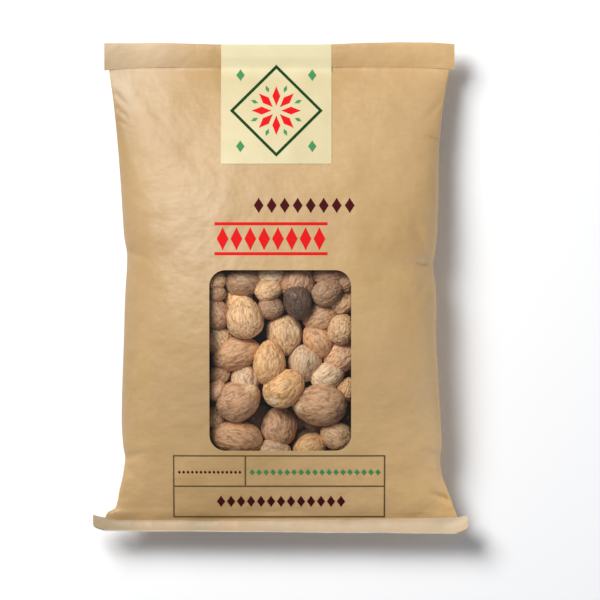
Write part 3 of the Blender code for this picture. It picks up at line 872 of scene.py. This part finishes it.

# Across, along, length, width, turn in degrees, how far behind the film, tone, and for some the
# middle and the radius of a pale patch, seen from the front, that is bare shell and painted highlight
NUTMEGS = (
    (0.0205, -0.0618, 0.0295, 0.0222, 176, 0.0000, "brown", -0.0125, -0.0020, 0.0032),
    (0.0018, -0.0531, 0.0238, 0.0188, 38, 0.0000, "amber", -0.0058, -0.0067, 0.0026),
    (-0.0060, -0.0392, 0.0240, 0.0170, 86, 0.0030, "amber"),
    (-0.0189, -0.0158, 0.0228, 0.0195, 97, 0.0000, "tan"),
    (-0.0222, -0.0595, 0.0250, 0.0214, 28, 0.0000, "brown", 0.0060, 0.0080, 0.0035),
    (-0.0337, -0.0541, 0.0118, 0.0102, 60, 0.0035, "pink"),
    (0.0249, -0.0464, 0.0192, 0.0152, 28, 0.0015, "pale"),
    (-0.0232, -0.0346, 0.0272, 0.0180, 16, 0.0005, "russet"),
    (0.0021, -0.0250, 0.0222, 0.0194, 280, 0.0035, "tan", 0.0052, 0.0029, 0.0027),
    (-0.0243, -0.0790, 0.0290, 0.0182, 172, 0.0010, "russet"),
    (0.0130, -0.0398, 0.0202, 0.0178, 260, 0.0020, "grey", 0.0040, 0.0030, 0.0020),
    (0.0091, -0.0073, 0.0195, 0.0150, 280, 0.0010, "dark"),
    (-0.0050, -0.0104, 0.0140, 0.0128, 0, 0.0020, "umber"),
    (-0.0064, -0.0012, 0.0150, 0.0124, 15, 0.0025, "tan"),
    (-0.0037, -0.0880, 0.0190, 0.0165, 10, 0.0015, "grey"),
    (-0.0008, -0.0733, 0.0214, 0.0194, 80, 0.0015, "brown"),
    (0.0324, -0.0217, 0.0165, 0.0150, 80, 0.0015, "tan"),
    (0.0324, -0.0358, 0.0200, 0.0170, 40, 0.0020, "pink"),
    (0.0295, -0.0782, 0.0182, 0.0155, 150, 0.0020, "tan"),
    (0.0160, -0.0850, 0.0195, 0.0165, 35, 0.0020, "amber"),
    (0.0197, -0.0279, 0.0195, 0.0150, 125, 0.0020, "russet"),
    (0.0249, -0.0023, 0.0178, 0.0142, 25, 0.0020, "umber"),
    (-0.0344, -0.0130, 0.0188, 0.0138, 112, 0.0020, "chestnut"),
    (-0.0218, -0.0062, 0.0165, 0.0152, 60, 0.0020, "amber"),
    (0.0213, -0.0161, 0.0195, 0.0160, 18, 0.0025, "brown"),
    (0.0332, -0.0076, 0.0155, 0.0130, 40, 0.0025, "tan", -0.0051, -0.0013, 0.0016),
    (-0.0328, -0.0268, 0.0175, 0.0152, 120, 0.0025, "tan", -0.0010, 0.0045, 0.0024),
    (-0.0324, -0.0463, 0.0120, 0.0105, 30, 0.0025, "brown"),
    (-0.0188, -0.0479, 0.0172, 0.0155, 110, 0.0025, "grey"),
    (0.0345, -0.0540, 0.0140, 0.0110, 70, 0.0030, "amber"),
    (0.0091, 0.0034, 0.0200, 0.0184, 80, 0.0015, "chestnut"),
    (-0.0193, 0.0032, 0.0205, 0.0160, 15, 0.0020, "umber"),
    (-0.0336, -0.0029, 0.0105, 0.0095, 0, 0.0020, "chestnut"),
    (-0.0341, 0.0038, 0.0120, 0.0105, 0, 0.0010, "tan"),
    (0.0261, 0.0070, 0.0180, 0.0120, 5, 0.0025, "chestnut"),
    (-0.0047, 0.0067, 0.0150, 0.0120, 0, 0.0030, "pale"),
    (0.0351, 0.0032, 0.0115, 0.0100, 60, 0.0030, "umber"),
    (-0.0352, -0.0687, 0.0125, 0.0110, 90, 0.0010, "tan"),
)
PLACED_FIRST = 6
NO_PATCH = (0, 0, 0)
NUTMEG_TAPER = 0.12
NUTMEG_FLATNESS = 0.94
SINK_STEP = 0.0005
DEEPEST_SINK = 0.0065
TOP_EDGE = -0.0040
TOP_SINK = 0.0020
TOUCH_SHARE = 0.86
TOUCH_BALL = 2


def ball_points(subdivisions):
    """Points and faces of a round ball of radius 1."""
    ball = bmesh.new()
    bmesh.ops.create_icosphere(ball, subdivisions=subdivisions, radius=1)
    points = np.array([vert.co for vert in ball.verts])
    faces = np.array([[vert.index for vert in face.verts] for face in ball.faces])
    ball.free()
    return points, faces


def drawn_out(points, length, width, turn):
    """Points of a unit ball drawn out to a nutmeg that narrows to one end."""
    drawn = points * (length / 2, width / 2, width / 2 * NUTMEG_FLATNESS)
    drawn[:, 1:] *= (1 - NUTMEG_TAPER * points[:, :1])
    angle = math.radians(turn)
    turned_x = drawn[:, 0] * math.cos(angle) - drawn[:, 1] * math.sin(angle)
    turned_y = drawn[:, 0] * math.sin(angle) + drawn[:, 1] * math.cos(angle)
    return np.stack((turned_x, turned_y, drawn[:, 2]), axis=1)


def reach_into(points, place, length, width, turn):
    """How deep the points lie in a nutmeg at that place: under 1 is inside it."""
    away = points - place
    angle = math.radians(turn)
    lengthwise = away[:, 0] * math.cos(angle) + away[:, 1] * math.sin(angle)
    crosswise = away[:, 1] * math.cos(angle) - away[:, 0] * math.sin(angle)
    parts = (lengthwise / (length / 2), crosswise / (width / 2), away[:, 2] / (width / 2 * NUTMEG_FLATNESS))
    return np.sqrt(sum(part**2 for part in parts)).min()


def settle(rows, settled, deepest, placed_first=0):
    """Adds each nutmeg's middle, size and turn: under the film, and sunk until clear of those before.

    The rows that are placed first stay at the depth that they give."""
    ball, _ = ball_points(TOUCH_BALL)
    for across, along, length, width, turn, behind in rows:
        shape = drawn_out(ball, length, width, turn)
        ceiling = film_underside(shape[:, 0] + across, shape[:, 1] + along) - CLEARANCE
        height = (ceiling - shape[:, 2]).min() - behind
        sink = TOP_SINK if along > TOP_EDGE else deepest
        lowest = max(height - sink, POCKET_FLOOR + 2 * CLEARANCE - shape[:, 2].min())
        while len(settled) >= placed_first and height - SINK_STEP > lowest:
            placed = shape + (across, along, height)
            if all(reach_into(placed, *other) > TOUCH_SHARE for other in settled):
                break
            height -= SINK_STEP
        settled.append(((across, along, height), length, width, turn))
    return settled


front_nuts = settle([row[:6] for row in NUTMEGS], [], DEEPEST_SINK, placed_first=PLACED_FIRST)
print("front nutmegs:", len(front_nuts))

# %% [markdown]
# Behind the first layer the gaps show more nutmegs in the dark. They come from a rule: a jittered
# grid over the room behind the window, each sunk until it is clear of the ones before it.

# %% The deeper layer
random.seed(7)
DEEP_ROWS, DEEP_COLUMNS = 7, 5
DEEP_SPACING = 0.0165
DEEP_CLOSENESS = 0.9
DEEP_JITTER = 0.002
DEEP_LENGTHS = (0.017, 0.021)
DEEP_FATNESS = (0.75, 0.85)
DEEP_BEHIND = 0.013
DEEP_SINK = 0.016
DEEP_TONES = ("brown", "umber", "tan", "pink", "grey")
deep_rows = []
deep_tones = []
for row in range(DEEP_ROWS):
    for column in range(DEEP_COLUMNS):
        steps_across = column - DEEP_COLUMNS // 2 + 0.5 * (row % 2) - 0.25
        x = steps_across * DEEP_SPACING + random.uniform(-DEEP_JITTER, DEEP_JITTER)
        steps_along = (row - DEEP_ROWS // 2) * DEEP_CLOSENESS
        y = WINDOW_CENTRE[1] + steps_along * DEEP_SPACING + random.uniform(-DEEP_JITTER, DEEP_JITTER)
        length = random.uniform(*DEEP_LENGTHS)
        width = length * random.uniform(*DEEP_FATNESS)
        deep_rows.append((x, y, length, width, random.uniform(0, 180), DEEP_BEHIND))
        deep_tones.append(random.choice(DEEP_TONES))
all_nuts = settle(deep_rows, list(front_nuts), DEEP_SINK)
deep_nuts = all_nuts[len(front_nuts):]
print("deeper nutmegs:", len(deep_nuts))

# %% [markdown]
# A nutmeg's grooves form a net. Noise has lines where it crosses zero, and a groove is cut along each
# of them. Drawn out along the nut they run lengthwise. A coarse net and a fine one are cut into every
# shell. The paper's edge shades the nutmegs at the window's top a little too much, so their colour
# is lifted there.

# %% One grooved nutmeg
BARE_SHELL_AND_HIGHLIGHT = (1.0, 0.78, 0.48)
GROOVE_DEPTH = 0.00050
FINE_GROOVE_DEPTH = 0.00018
SHELL_LUMPS = 0.07
TONE_DRIFT = 0.05
# Turns of the noise round the nut and along it, and how wide its grooves are
COARSE_NET = (4.6, 1.0, 0.20)
FINE_NET = (10.5, 2.4, 0.18)
TOP_LIFT = 0.12
TOP_FROM = -0.008
TOP_SPAN = 0.014


def groove_net(points, around, lengthwise, width, seed):
    """0 on the ridges and 1 in the grooves of a net that is drawn out along the nutmeg."""
    values = []
    for x, y, z in points:
        warp = noise.noise(Vector((x * 2.1, y * 2.1, z * 2.1 + seed)))
        place = Vector((x * lengthwise + 0.3 * warp + seed, y * around + warp, z * around - warp))
        values.append(abs(noise.noise(place)))
    return np.clip(1 - np.array(values) / width, 0, 1) ** 1.3


def grow_nutmeg(ball, length, width, turn, seed):
    """The nutmeg's points and how deep in a groove each lies."""
    lumps = np.array([noise.noise(Vector(point) * 1.3 + Vector((seed, 0, seed))) for point in ball])
    coarse = groove_net(ball, *COARSE_NET, seed)
    fine = groove_net(ball, *FINE_NET, seed + 20)
    shape = drawn_out(ball, length, width, turn)
    radius = np.linalg.norm(shape, axis=1, keepdims=True)
    outward = shape / radius
    shape = shape * (1 + SHELL_LUMPS * lumps[:, None])
    sunk = GROOVE_DEPTH * coarse + FINE_GROOVE_DEPTH * fine
    return shape - outward * sunk[:, None], np.clip(0.7 * coarse + 0.4 * fine, 0, 1)


def build_nutmegs(name, nuts, tones, patches, subdivisions, material, light=1.0):
    """All the nutmegs of a layer in one mesh, with their colour, grooves and own coordinates stored."""
    ball, faces = ball_points(subdivisions)
    points, all_faces, colours, owns = [], [], [], []
    for number, ((place, length, width, turn), tone, patch) in enumerate(zip(nuts, tones, patches)):
        shape, groove = grow_nutmeg(ball, length, width, turn, 3.7 * number + 1.1)
        all_faces.append(faces + len(ball) * number)
        points.append(shape + place)
        # Each patch is painted pale: bare shell, brightened further as a painted highlight.
        away = np.hypot(shape[:, 0] - patch[0], shape[:, 1] - patch[1])
        spot = np.clip(1.35 - away / (patch[2] + 1e-6), 0, 0.8) * (shape[:, 2] > 0)
        to_top = np.clip((place[1] - TOP_FROM) / TOP_SPAN, 0, 1)
        drift = 1 + TONE_DRIFT * math.sin(number * 2.3)
        # The light factor paints shade onto a whole layer, and TOP_LIFT paints light onto nutmegs near the
        # window's top.
        base = np.array(TONES[tone]) * drift * (light + TOP_LIFT * to_top)
        base = base / max(1, base.max())
        shades = base[None, :] * (1 - spot[:, None]) + np.array(BARE_SHELL_AND_HIGHLIGHT) * spot[:, None]
        groove = groove * (1 - 0.7 * spot)
        colours.append(np.concatenate((shades, groove[:, None]), axis=1))
        # Own places in millimetres, moved apart so that no two nutmegs share a pattern
        owns.append(ball * (length * 500, width * 500, width * 500) + number * 37.0)
    data = bpy.data.meshes.new(name)
    data.from_pydata(np.concatenate(points).tolist(), [], np.concatenate(all_faces).tolist())
    shell = data.color_attributes.new("shell", "FLOAT_COLOR", "POINT")
    shell.data.foreach_set("color", np.concatenate(colours).astype(np.float32).ravel())
    own = data.attributes.new("own_place", "FLOAT_VECTOR", "POINT")
    own.data.foreach_set("vector", np.concatenate(owns).astype(np.float32).ravel())
    return place_piece(name, data, material, "nutmegs")


# %% [markdown]
# The shell's colour varies from nut to nut and over each nut. The mesh carries each nutmeg's own
# colour and how deep each point lies in a groove, and the material adds what is finer: thin dark
# lines along the nut, a grey bloom in patches, and pale flecks on the ridges that are a painted
# dull sheen.

# %% Nutmeg material and both layers
SHELL_BLOOM = (0.70, 0.55, 0.39)
SHELL_SHADE = (0.48, 0.23, 0.10)
SHELL_LINE = (0.29, 0.135, 0.060)
SHELL_PAINTED_SHEEN = (0.88, 0.66, 0.40)
SHELL_GROOVE = (0.20, 0.088, 0.040)
# The deeper layer's colour is scaled to this share: painted shade, as those nutmegs lie in the heap's
# shadow.
DEEP_PAINTED_SHADE = 0.2

nut_paint, tree, shader = start_material("nutmeg_shell", 0.62)
stored = add_node(tree, "Attribute", attribute_name="shell")
own_place = add_node(tree, "Attribute", attribute_name="own_place").outputs["Vector"]
lines = speckle(tree, 1.2, stretch=(0.16, 1, 1), detail=3, place=own_place)
bloom = speckle(tree, 0.22, detail=3, place=own_place)
sheen_flecks = speckle(tree, 2.4, stretch=(0.4, 1, 1), detail=2, place=own_place)
base = stored.outputs["Color"]
greenness = add_node(tree, "SeparateColor", {"Color": base}).outputs["Green"]
in_light_nut = spread(tree, greenness, 0.04, 0.20, 0.35, 1.0)
bloom_share = multiply(tree, spread(tree, bloom, 0.45, 0.72, 0.0, 0.35), in_light_nut)
bloomed = mix_colours(tree, bloom_share, base, SHELL_BLOOM)
shaded = mix_colours(tree, spread(tree, bloom, 0.28, 0.45, 0.45, 0.0), bloomed, SHELL_SHADE)
off_spots = spread(tree, greenness, 0.68, 0.76, 1.0, 0.4)
line_share = multiply(tree, spread(tree, lines, 0.48, 0.64, 0.0, 0.55), off_spots)
lined = mix_colours(tree, line_share, shaded, SHELL_LINE)
sheen_fleck_share = multiply(tree, spread(tree, sheen_flecks, 0.58, 0.70, 0.0, 0.35), in_light_nut)
with_sheen_flecks = mix_colours(tree, sheen_fleck_share, lined, SHELL_PAINTED_SHEEN)
groove_dark = overlay(tree, with_sheen_flecks, stored.outputs["Alpha"], 0.12, 0.9, 0.72, SHELL_GROOVE)
tree.links.new(groove_dark, shader.inputs["Base Color"])
tree.links.new(spread(tree, bloom, 0.3, 0.7, 0.5, 0.75), shader.inputs["Roughness"])
grain_bump = add_node(tree, "Bump", {"Height": lines, "Strength": 0.5, "Distance": 0.0004}).outputs[0]
tree.links.new(grain_bump, shader.inputs["Normal"])

front_tones = [row[6] for row in NUTMEGS]
patches = [row[7:] or NO_PATCH for row in NUTMEGS]
no_patches = [NO_PATCH] * len(deep_nuts)
nuts = build_nutmegs("front_nutmegs", front_nuts, front_tones, patches, 5, nut_paint)
deep = build_nutmegs("deep_nutmegs", deep_nuts, deep_tones, no_patches, 4, nut_paint, light=DEEP_PAINTED_SHADE)
print("nutmeg faces:", len(nuts.data.polygons), len(deep.data.polygons))

# %% [markdown]
# Under both layers lies the rest of the heap, too deep to make out. A lumpy bed stands for it,
# coloured near black as painted shade, so that no light comes up through the gaps.

# %% The dark bed
BED_BEHIND = 0.026
BED_LUMPS = 0.0015
BED_GRID = (50, 40, 10)
BED_GAP = 0.001
BED_SINK = 0.003

bed_paint = two_tone_material("shaded_bed", 0.9, 60, (0.006, 0.004, 0.003), (0.024, 0.014, 0.009))
across, along = rounded_grid(POCKET_LAP - BED_GAP, *BED_GRID)
bed_top = np.maximum(film_underside(across, along) - BED_BEHIND, POCKET_FLOOR + BED_GAP)
bed_top = bed_top + BED_LUMPS * grid_waves(across, along, 90, 2.4)
over = np.stack((across, along, bed_top), axis=-1)
under = np.stack((across, along, np.full(across.shape, POCKET_FLOOR - BED_SINK)), axis=-1)
bed = finish_piece("heap_bed", build_slab(over, under), bed_paint, "nutmegs")
print("bed faces:", len(bed.data.polygons))

# %% [markdown]
# ## The label
# A cream paper label is glued over the fold and runs on down the front. It lies on whatever is under
# it, so its height is read off the paper below by dropping a ray at each of its points, and then
# smoothed, because stiff paper bridges small hollows.

# %% Lay the label on the paper
LABEL_CENTRE = (-0.00225, 0.0973)
LABEL_WIDTH = 0.0585
LABEL_LENGTH = 0.0636
FOLD_HOLD = 0.1274
LABEL_SHEET = 0.00018
LABEL_GLUE = 0.00012
LABEL_COLUMNS, LABEL_ROWS = 60, 66
BRIDGING_PASSES = 6
RAY_START = 0.2


def surface_height(surfaces, x, y):
    """The highest of the surfaces at that place."""
    found = []
    for surface in surfaces:
        hit = surface.ray_cast(Vector((x, y, RAY_START)), Vector((0, 0, -1)))[0]
        if hit is not None:
            found.append(hit.z)
    return max(found)


across = LABEL_CENTRE[0] + LABEL_WIDTH * np.linspace(-0.5, 0.5, LABEL_COLUMNS)[None, :]
along = LABEL_CENTRE[1] + LABEL_LENGTH * np.linspace(-0.5, 0.5, LABEL_ROWS)[:, None]
across, along = (np.array(grid) for grid in np.broadcast_arrays(across, along))
rests = np.array([
    [surface_height((bag_surface, band_surface), x, min(y, FOLD_HOLD)) for x, y in zip(*row)]
    for row in zip(across, along)
])
smooth = rests.copy()
for _ in range(BRIDGING_PASSES):
    padded = np.pad(smooth, 1, mode="edge")
    smooth = (padded[:-2, 1:-1] + padded[2:, 1:-1] + padded[1:-1, :-2] + padded[1:-1, 2:]) / 4
    smooth = np.maximum(smooth, rests)
under = np.stack((across, along, smooth + LABEL_GLUE), axis=-1)

label_paint, tree, shader = start_material("label_paper", 0.42)
mottle = speckle(tree, 90, detail=4)
height = add_node(tree, "SeparateXYZ", {"Vector": add_node(tree, "TexCoord").outputs["Object"]}).outputs["Y"]
# Painted light: the label is coloured paler on the fold than below it, though it is one sheet.
upper = mix_colours(tree, spread(tree, mottle, 0.3, 0.7), (0.745, 0.648, 0.392), (0.775, 0.690, 0.428))
lower = mix_colours(tree, spread(tree, mottle, 0.3, 0.7), (0.645, 0.545, 0.307), (0.676, 0.584, 0.338))
cream = mix_colours(tree, spread(tree, height, 0.110, 0.119), lower, upper)
label_fibre = speckle(tree, 900, stretch=(0.3, 1, 1), detail=2)
fibred = overlay(tree, cream, label_fibre, 0.5, 0.75, 0.12, (0.68, 0.56, 0.32))
tree.links.new(fibred, shader.inputs["Base Color"])
label_tooth = add_node(tree, "Bump", {"Height": label_fibre, "Strength": 0.1, "Distance": 0.0002})
tree.links.new(label_tooth.outputs[0], shader.inputs["Normal"])
label_mesh = build_slab(under + np.array((0, 0, LABEL_SHEET)), under)
label_surface = BVHTree.FromBMesh(label_mesh)
label = finish_piece("cream_label", label_mesh, label_paint, "front_label")
print("label faces:", len(label.data.polygons))

# %% [markdown]
# ## Printing
# Print is ink, so it has hardly any height, but it has crisp edges. Painting it into a texture would
# blur them, so each printed shape is a thin strip of mesh laid on the paper. Two outlines, a left
# and a right one, describe every shape here: a line, a lozenge or a frame's side.

# %% Ink and strips
INK_LIFT = 0.00006
INK = 0.00005
# Neighbouring strips are lifted by different steps, so that no two faces share a place where they cross
INK_STEP = 0.00001
INK_STEPS = 6


def ink_material(name, colour, worn):
    """Ink that soaked into the paper a little unevenly."""
    material, tree, shader = start_material(name, 0.5)
    soak = spread(tree, speckle(tree, 700, detail=4), 0.35, 0.75, 0.0, 0.6)
    tree.links.new(mix_colours(tree, soak, colour, worn), shader.inputs["Base Color"])
    tree.links.new(spread(tree, soak, 0.0, 0.6, 0.7, 0.85), shader.inputs["Roughness"])
    shader.inputs["Specular IOR Level"].default_value = 0.12
    return material


def bar(x1, y1, x2, y2, thickness, step=0.002):
    """A straight line with square ends half a thickness beyond its points, as two outlines."""
    start, end = np.array((x1, y1)), np.array((x2, y2))
    ahead = (end - start) / np.hypot(*(end - start)) * thickness / 2
    start, end = start - ahead, end + ahead
    run = end - start
    length = np.hypot(*run)
    aside = np.array((-run[1], run[0])) / length * thickness / 2
    line = start + run * np.linspace(0, 1, max(2, round(length / step) + 1))[:, None]
    return line + aside, line - aside


def lozenge(x, y, width, height, turn=0.0, tip=0.06):
    """A lozenge with its middle at x, y, standing on a tip and then turned, in degrees."""
    t = np.linspace(-1, 1, 9)
    half = width / 2 * np.maximum(1 - np.abs(t), tip)
    angle = math.radians(turn)
    lengthwise = np.array((-math.sin(angle), math.cos(angle)))
    crosswise = np.array((math.cos(angle), math.sin(angle)))
    line = np.array((x, y)) + t[:, None] * height / 2 * lengthwise
    return line - half[:, None] * crosswise, line + half[:, None] * crosswise


def build_print(strips, surface):
    """Thin closed strips of ink on the surface, in one mesh."""
    whole = bmesh.new()
    for number, outlines in enumerate(strips):
        plan = np.stack(outlines, axis=1)
        lift = INK_LIFT + INK_STEP * (number % INK_STEPS)
        heights = [[surface_height((surface,), x, y) + lift for x, y in row] for row in plan]
        under = np.concatenate((plan, np.array(heights)[..., None]), axis=-1)
        part = build_slab(under + np.array((0, 0, INK)), under)
        data = bpy.data.meshes.new("strip")
        part.to_mesh(data)
        part.free()
        whole.from_mesh(data)
        bpy.data.meshes.remove(data)
    return whole


def print_shapes(prints, surface, node):
    """One printed piece for each name, its shapes and its ink."""
    for name, shapes, ink in prints:
        printed = finish_piece(name, build_print(shapes, surface), ink, node)
        print(name, "faces:", len(printed.data.polygons))


red_ink = ink_material("red_ink", (0.72, 0.004, 0.007), (0.72, 0.020, 0.014))
maroon_ink = ink_material("maroon_ink", (0.055, 0.002, 0.004), (0.09, 0.009, 0.009))
green_ink = ink_material("leaf_green_ink", (0.050, 0.26, 0.085), (0.10, 0.30, 0.11))
deep_green_ink = ink_material("deep_green_ink", (0.002, 0.045, 0.006), (0.010, 0.065, 0.015))
line_ink = ink_material("line_ink", (0.115, 0.070, 0.036), (0.18, 0.11, 0.055))
print("inks ready")

# %% [markdown]
# The ornament is plain geometry: rows of lozenges between lines, in the pack's red and dark red, and
# a thin ruled frame at the foot with rows of small marks in it.

# %% Print on the kraft paper
RULE = 0.0007
FRAME_LEFT, FRAME_RIGHT = -0.0565, 0.0550
FRAME_TOP, FRAME_MIDDLE, FRAME_BOTTOM = -0.0887, -0.1049, -0.1213
FRAME_POST = -0.0186
# Place along, width and height of a lozenge, first and last place across, and how many
SMALL_ROW = (-0.0974, 0.0016, 0.0018, -0.0535, -0.0215, 15)
GREEN_ROW = (-0.0974, 0.0030, 0.0032, -0.0150, 0.0515, 19)
FOOT_ROW = (-0.1130, 0.0044, 0.0058, -0.0315, 0.0320, 13)
RED_ROW = (0.0259, 0.0062, 0.0118, -0.0305, 0.0205, 8)
UPPER_ROW = (0.0435, 0.0052, 0.0078, -0.0115, 0.0365, 8)
RED_LINES = (0.0180, 0.0338)
RED_LEFT, RED_RIGHT = -0.0340, 0.0240
RED_RULE = 0.0016


def lozenge_row(along, width, height, first, last, count):
    """Equal lozenges set evenly between two places across the pack."""
    return [lozenge(across, along, width, height) for across in np.linspace(first, last, count)]


rules = [bar(FRAME_LEFT, y, FRAME_RIGHT, y, RULE) for y in (FRAME_TOP, FRAME_MIDDLE, FRAME_BOTTOM)]
rules += [bar(x, FRAME_BOTTOM, x, FRAME_TOP, RULE) for x in (FRAME_LEFT, FRAME_RIGHT)]
rules.append(bar(FRAME_POST, FRAME_MIDDLE, FRAME_POST, FRAME_TOP, RULE))
red_shapes = [bar(RED_LEFT, y, RED_RIGHT, y, RED_RULE) for y in RED_LINES] + lozenge_row(*RED_ROW)
kraft_prints = (
    ("ruled_frame", rules, line_ink),
    ("small_marks", lozenge_row(*SMALL_ROW), maroon_ink),
    ("red_ornament", red_shapes, red_ink),
    ("maroon_ornament", lozenge_row(*UPPER_ROW) + lozenge_row(*FOOT_ROW), maroon_ink),
    ("green_marks", lozenge_row(*GREEN_ROW), green_ink),
)
print_shapes(kraft_prints, bag_surface, "paper_bag")

# %% [markdown]
# The label carries a plain diamond with a rosette in it. Each petal is the same lozenge, set round
# the middle by a sine and a cosine and turned to point outward.

# %% Print on the label
ROSETTE = (LABEL_CENTRE[0], LABEL_CENTRE[1] - 0.0035)
DIAMOND = 0.0235
DIAMOND_LINE = 0.0015
PETALS = 8
# Distance from the middle, then width and height of a lozenge
PETAL_RING, PETAL = 0.0078, (0.0042, 0.0100)
LEAF_RING, LEAF = 0.0125, (0.0020, 0.0040)
CORNER_REACH, CORNER_MARK = 0.019, (0.0045, 0.0060)


def around_rosette(count, radius, first, shape):
    """Shapes set evenly round the rosette's middle, each turned to point outward."""
    made = []
    for number in range(count):
        turn = first + 360 * number / count
        x = ROSETTE[0] - radius * math.sin(math.radians(turn))
        y = ROSETTE[1] + radius * math.cos(math.radians(turn))
        made.append(lozenge(x, y, *shape, turn=turn))
    return made


tips = [(ROSETTE[0] + DIAMOND * x, ROSETTE[1] + DIAMOND * y) for x, y in ((0, 1), (1, 0), (0, -1), (-1, 0))]
diamond = [bar(*first, *second, DIAMOND_LINE) for first, second in zip(tips, tips[1:] + tips[:1])]
reaches = (-CORNER_REACH, CORNER_REACH)
corner_marks = [lozenge(ROSETTE[0] + x, ROSETTE[1] + y, *CORNER_MARK) for x in reaches for y in reaches]
petals = around_rosette(PETALS, PETAL_RING, 0, PETAL)
between = around_rosette(PETALS, LEAF_RING, 180 / PETALS, LEAF)

label_prints = (
    ("label_diamond", diamond, deep_green_ink),
    ("label_petals", petals, red_ink),
    ("label_leaves", between + corner_marks, green_ink),
)
print_shapes(label_prints, label_surface, "front_label")
